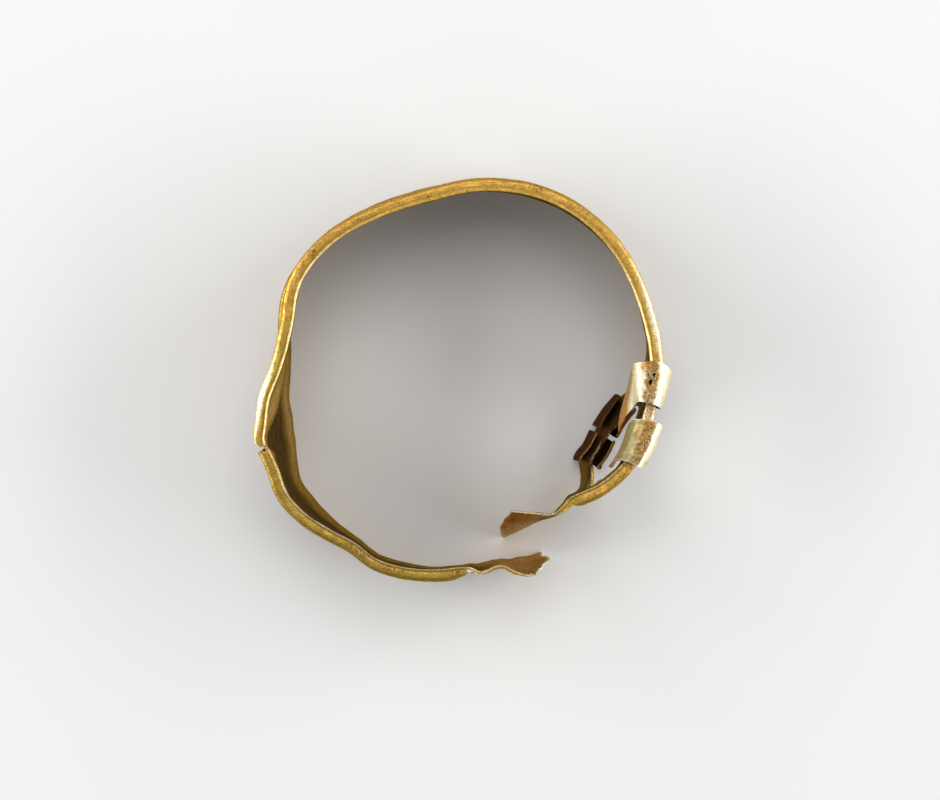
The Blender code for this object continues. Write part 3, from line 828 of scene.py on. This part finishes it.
sleeveSheet = {
    "wall": 0.0003, "gap": 0.0003, "shoulder": 0.35, "leanStart": 0.13, "steps": (62, 104),
    "arch": (-1, -0.94, -0.72, -0.45, -0.16, 0.16, 0.45, 0.72, 0.94, 1),        # shares of half the width
    "wristLeg": [(-0.84, 1.0), (-0.98, 0.7)],        # and shares of the leg
    "outerLeg": [(0.90, 0.7), (0.66, 1.0)],
    "seamWidth": 0.4, "mouthRaggedness": 0.00012, "archFrom": 0.3,
    "scratchPeriods": (3.0, 0.4),        # along and across, in millimetres
}
topSleeve = {"onTop": True, "leg": 0.0060, "seam": 0.0004, "rise": 0.00175}
farSleeve = {        # the two plain ones on the bottom rim
    "onTop": False, "length": 0.0066, "width": 0.0046, "shift": 0.0, "taper": 0.0,
    "turn": 0.0, "turnEnd": 0.0, "leg": 0.0044, "seam": 0.0, "rise": 0.0,
    "lean": 0.0, "droop": 0.0, "tip": 0.0, "wristSlant": (0.0004, 0.0004), "outerSlant": (0.0004, 0.0004),
    "valley": (0.0, 0.0), "shadedFlank": (0.0, 0.0), "olive": 0.3, "holes": [], "stains": [],
}
sleeves = [
    {
        "name": "upper_sleeve", "node": "top_rim_sleeve_1", "seed": 1,
        **topSleeve, "start": 5.3, "length": 0.00658, "width": 0.0066, "shift": -0.00074,
        "taper": 0.00102, "turn": 0.0, "turnEnd": 0.0010, "lean": 0.9, "droop": 0.0020, "tip": -0.0005,
        "wristSlant": (0.00035, 0.00063), "outerSlant": (0.00154, 0.00049),        # at the start and end
        "valley": (0.0, 0.33), "shadedFlank": (0.35, 1.0), "olive": 0.1,        # middle, half width; start, end
        "holes": [        # share along, across, half sizes
            (0.50, -0.07, 0.070, 0.105), (0.33, 0.10, 0.072, 0.085), (0.33, -0.17, 0.035, 0.045),
            (0.82, -0.02, 0.030, 0.040), (0.63, 0.02, 0.020, 0.030),
        ],
        "stains": [
            (0.06, -0.30, 0.10, 0.28), (0.14, -0.48, 0.08, 0.10),
            (0.33, 0.30, 0.10, 0.12), (0.55, 0.2, 0.1, 0.1),
        ],
    },
    {
        "name": "lower_sleeve", "node": "top_rim_sleeve_2", "seed": 2,
        **topSleeve, "start": -12.1, "length": 0.00721, "width": 0.0058, "shift": 0.0001,
        "taper": 0.00070, "turn": 0.00135, "turnEnd": 0.0, "lean": 0.55, "droop": 0.0, "tip": -0.0017,
        "wristSlant": (0.00080, 0.00130), "outerSlant": (0.00028, -0.00049),
        "valley": (0.12, 0.36), "shadedFlank": (0.45, 0.7), "olive": 0.8,
        "holes": [(0.46, 0.26, 0.030, 0.05), (0.55, 0.22, 0.025, 0.05)],
        "stains": [
            (0.10, -0.10, 0.08, 0.16), (0.24, -0.42, 0.07, 0.12),
            (0.42, -0.20, 0.06, 0.12), (0.5, 0.0, 0.05, 0.1),
        ],
    },
    {**farSleeve, "name": "far_upper_sleeve", "node": "bottom_rim_sleeve_1", "start": -6.0, "seed": 3},
    {**farSleeve, "name": "far_lower_sleeve", "node": "bottom_rim_sleeve_2", "start": -20.5, "seed": 4},
]


# a sleeve's section from leg to leg over the rim: share of half its width, height over the rim's face
def sleeveSection(sleeve):
    leg, seam = sleeve["leg"], sleeve["seam"]
    rise = sleeveSheet["wall"] + sleeveSheet["gap"] + seam
    shoulder = sleeveSheet["shoulder"] * leg
    outline = [(across, -share * leg) for across, share in sleeveSheet["wristLeg"]]
    for across in sleeveSheet["arch"]:
        valley = seam * hump(across, 0, sleeveSheet["seamWidth"])
        outline.append((across, (rise + shoulder) * np.sqrt(1 - across ** 2) - shoulder - valley))
    outline += [(across, -share * leg) for across, share in sleeveSheet["outerLeg"]]
    steps = np.arange(len(outline))
    where = np.linspace(0, len(outline) - 1, sleeveSheet["steps"][1] + 1)
    return tuple(smoothCurve(list(zip(steps, values)))(where) for values in zip(*outline))


# points of a sleeve: share of its length, share of half its width, height over the rim's face
def sleevePoints(sleeve, share, across, up):
    onWrist = across < 0
    up = up - onWrist * sleeve["droop"] * (share * across) ** 2
    low = np.clip(-up / sleeve["leg"], 0, 1)
    start, end = (np.where(onWrist, w, o) for w, o in zip(sleeve["wristSlant"], sleeve["outerSlant"]))
    along = share * sleeve["length"] + (start + (end - start) * share) * across ** 2
    leaning = sleeve["lean"] * np.clip(-up - sleeveSheet["leanStart"] * sleeve["leg"], 0, None)
    along = along + onWrist * (leaning + sleeve["tip"] * share ** 3 * low ** 3)
    ragged = sleeveSheet["mouthRaggedness"] * jagged(across[0] * 5 + up[0] * 1400, sleeve["seed"])
    ragged = ragged * (2 * share - 1)
    outward = band["rimWidth"] / 2 + sleeve["shift"] + across * sleeve["width"] / 2
    turn = sleeve["turn"] * low + sleeve["turnEnd"] * share ** 4 * low ** 0.5
    outward = outward + np.where(onWrist, turn, -across * sleeve["taper"] * share)
    rise = up + sleeve["rise"] * share
    height = bandWidth + rise if sleeve["onTop"] else -rise
    return placeOnHoop(sleeve["start"] - degreesFor(along + ragged), outward, height)


# the holes of a sleeve: which cells are lost, and the grid pulled to the holes' ragged edges
def cutHoles(sleeve, share, across, overArch):
    lost = np.zeros((share.shape[0] - 1, share.shape[1] - 1), bool)
    for holeShare, holeAcross, longSize, wideSize in sleeve["holes"]:
        along, over = (share - holeShare) / longSize, (across - holeAcross) / wideSize
        ratio = np.hypot(along, over) + 9 * ~overArch        # the legs have none
        hole = (ratio[:-1, :-1] + ratio[1:, 1:]) / 2 < 1
        lost |= hole
        outline = wavy(np.arctan2(over, along), [(3, 0.16, sleeve["seed"]), (7, 0.10, 0)])
        ratio = np.where(edgeOf(hole), ratio / outline, 1)
        share = holeShare + (share - holeShare) / ratio
        across = holeAcross + (across - holeAcross) / ratio
    return lost, share, across


# the values that a sleeve's material and dents go by
def sleeveAge(sleeve, share, across, up, overArch):
    middle, half = sleeve["valley"]
    seed, onTop, nothing = sleeve["seed"], sleeve["onTop"], 0 * share
    wander = 0.12 * jagged(share * 6 + 2.5 * np.sign(across), seed) + 0.05 * jagged(share * 19, 7) - middle
    # the seam valley: soil, tarnish and rust, darkened also as painted shade of its dark reflection
    valley = (1 - fade(np.abs(across + wander), 0.7 * half, 1.15 * half + 0.001)) * overArch
    rough = np.clip(0.65 + 0.8 * jagged(share * 9 + across * 3, seed + 20), 0.15, 1)
    rusty = np.clip(0.3 + 1.1 * jagged(share * 5 + 1.5 * across, seed + 11), 0, 0.8)
    # the steep wrist-side flank is coloured orange and darker as painted shade
    shadedFlank = fade(-up, 0.0006, 0.0018) * (across < 0)
    curled = shadedFlank * fade(share, 0.5, 0.8) * onTop        # its inner face shows at the lower mouth, so the back's painted shade is lifted there
    fromStart, toEnd = sleeve["shadedFlank"]
    stainAndShade = np.maximum(rusty * valley, shadedFlank * (fromStart + (toEnd - fromStart) * share ** 1.5))
    for place, middle, longSize, wideSize in sleeve["stains"]:
        stainAndShade = np.maximum(stainAndShade, hump(share, place, longSize) * hump(across, middle, wideSize) * overArch)
    olive = sleeve["olive"] * (1 - fade(across, 0.3, 0.6))
    return {
        "soilAndShade": 0.7 * valley + 0.2 * shadedFlank if onTop else 0.6 + nothing,
        "tarnishAndShade": np.maximum(0.9 * valley + 0.6 * shadedFlank, olive), "wearAndHighlight": nothing, "stainAndShade": stainAndShade,
        "thin": nothing, "pitted": valley * rough, "grimeAndShade": (0 if onTop else 0.7) + nothing,
        "backShade": 0.95 - 0.9 * curled, "wall": nothing, "cleanAndLit": nothing,
    }


def makeSleeve(sleeve, material, shift):
    acrossLine, upLine = sleeveSection(sleeve)
    shareLine = np.linspace(0, 1, sleeveSheet["steps"][0] + 1)
    share, across = np.meshgrid(shareLine, acrossLine, indexing="ij")
    up = np.repeat(upLine[None, :], len(shareLine), axis=0)
    overArch = up > -sleeveSheet["archFrom"] * sleeve["leg"]
    lost, share, across = cutHoles(sleeve, share, across, overArch)
    values = sleeveAge(sleeve, share, across, up, overArch)
    mesh, grid = flatGrid(len(shareLine) - 1, len(acrossLine) - 1, values)
    bendGrid(mesh, grid, sleevePoints(sleeve, share, across, up), lost, values)
    acrossMm = runningMm(np.diff(acrossLine) * sleeve["width"] / 2, np.diff(upLine))
    mapSheet(mesh, grid, shareLine * sleeve["length"] * 1000, acrossMm, sleeveSheet["scratchPeriods"])
    mesh.normal_update()
    crown = max(mesh.faces, key=lambda f: abs(f.calc_center_median().z - bandWidth / 2))
    if crown.normal.z * (1 if sleeve["onTop"] else -1) < 0:        # the normals point away from the rim
        bmesh.ops.reverse_faces(mesh, faces=mesh.faces[:])
    pitted = mesh.verts.layers.float["pitted"]
    start = (sleeve["seed"], 0, 0)

    def dents(vert):
        p = vert.co
        pits = dent(p, 0.00012, 1200, start) + dent(p, 0.00010, 2600)
        return dent(p, 0.00006, 420, start) + vert[pitted] * pits

    pushAlongNormals(mesh, dents)
    bmesh.ops.translate(mesh, verts=mesh.verts[:], vec=shift)
    piece = sheetPiece(sleeve["name"], mesh, sleeveSheet["wall"], material)
    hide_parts(sleeve["node"])


# the golds of the band, of the pale sleeves and of the stained far ones; the sleeves' pale gold is their own
# paler tone, whitened further as a painted highlight
looks = {
    "warm": ((0.70, 0.39, 0.075), (0.92, 0.84, 0.62), (0.26, 0.12, 0.04)),
    "tarnishAndShade": ((0.35, 0.26, 0.04), (0.38, 0.30, 0.08), (0.15, 0.07, 0.02)),
    "dark": ((0.20, 0.13, 0.03), (0.16, 0.10, 0.03), (0.07, 0.03, 0.01)),
    "bright": ((0.98, 0.88, 0.62), (0.98, 0.94, 0.80), (0.50, 0.34, 0.12)),
    "blushColour": ((0.62, 0.30, 0.10), (0.74, 0.48, 0.26), (0.30, 0.10, 0.03)),
    "grimeAndShade": ((0.030, 0.018, 0.006), (0.040, 0.022, 0.008), (0.040, 0.014, 0.005)),
    "stainAndShade": ((0.55, 0.24, 0.06), (0.62, 0.27, 0.05), (0.30, 0.10, 0.03)),
    "soilAndShade": ((0.30, 0.10, 0.03), (0.30, 0.14, 0.03), (0.13, 0.04, 0.012)),
    "soilAndShadeDark": ((0.05, 0.02, 0.01), (0.05, 0.03, 0.01), (0.03, 0.012, 0.006)),
    "edgeTint": ((0.48, 0.38, 0.18), (0.80, 0.68, 0.42), (0.40, 0.20, 0.08)),
    "blush": (0.4, 0.20, 0.4), "pits": (0.70, 0.25, 0.5), "mottle": (0.45, 0.22, 0.5),
    "tarnishFrom": (0.50, 0.62, 0.44), "speckFrom": (0.74, 0.76, 0.66), "roughness": (0.40, 0.52, 0.48),
    "relief": (0.6, 0.35, 0.6), "scratches": (0.45, 0.1, 0.3), "grain": (1.0, 0.4, 0.5),
}
bandGold, paleGold, stainedGold = (
    agedGold(name, {kind: values[i] for kind, values in looks.items()})
    for i, name in enumerate(("worn band gold", "pale sleeve gold", "stained far gold")))

hoopShift = makeBand(bandGold)
for sleeve in sleeves:
    if sleeve["onTop"]:
        makeSleeve(sleeve, paleGold, hoopShift)
    else:
        makeSleeve(sleeve, stainedGold, hoopShift)

studio = {
    "floorSize": 1.6, "floorColour": (0.80, 0.795, 0.785),
    "world": 0.36,
    "sideLights": {"size": (0.60, 0.34), "away": 0.52, "height": 0.22, "watts": 3.0, "behind": 0.05},
    "backLight": {"size": (0.60, 0.60), "away": 0.40, "height": 0.92, "watts": 2.8},
}


def makeStudio():
    mesh = bmesh.new()
    bmesh.ops.create_grid(mesh, x_segments=8, y_segments=8, size=studio["floorSize"] / 2)
    data = bpy.data.meshes.new("floor")
    mesh.to_mesh(data)
    mesh.free()
    floor = addObject("floor", data)
    material, tree, shader, place = newMaterial("pale floor")
    tone = tuple(0.94 * c for c in studio["floorColour"])
    mottle = noiseOf(tree, place, 6, 3)
    tree.links.new(blendColours(tree, mottle, studio["floorColour"], tone), shader.inputs["Base Color"])
    shader.inputs["Roughness"].default_value = 0.9
    data.materials.append(material)

    world = bpy.data.worlds.new("studio")
    world.use_nodes = True
    world.node_tree.nodes["Background"].inputs["Color"].default_value = (1, 1, 1, 1)
    world.node_tree.nodes["Background"].inputs["Strength"].default_value = studio["world"]
    bpy.context.scene.world = world

    def softLight(name, x, y, z, size, watts):
        light = bpy.data.lights.new(name, "AREA")
        light.shape = "RECTANGLE"
        light.size, light.size_y = size
        light.energy = watts
        lamp = addObject(name, light)
        lamp.location = (x, y, z)
        lamp.rotation_euler = (-Vector((x, y, z))).to_track_quat("-Z", "Y").to_euler()

    side = studio["sideLights"]
    for name, direction in (("left lamp", -1), ("right lamp", 1)):
        away = direction * side["away"]
        softLight(name, away, side["behind"], side["height"], side["size"], side["watts"])
    back = studio["backLight"]
    softLight("back lamp", 0.0, back["away"], back["height"], back["size"], back["watts"])


camera = {
    "pixels": (940, 800), "pixelsPerMetre": 6180, "hoopCentre": (458, 379), "distance": 0.520, "sensor": 36,
}


def makeCamera(shift):
    wide, tall = camera["pixels"]
    scale = camera["pixelsPerMetre"]
    data = bpy.data.cameras.new("camera")
    data.sensor_width = camera["sensor"]
    data.lens = camera["sensor"] * camera["distance"] * scale / wide
    data.clip_start = 0.01
    made = addObject("camera", data)
    made.location = (
        (wide / 2 - camera["hoopCentre"][0]) / scale + shift.x,
        (camera["hoopCentre"][1] - tall / 2) / scale + shift.y,
        bandWidth + camera["distance"],
    )
    bpy.context.scene.camera = made


makeStudio()
makeCamera(hoopShift)
bpy.context.scene.view_settings.view_transform = "Standard"
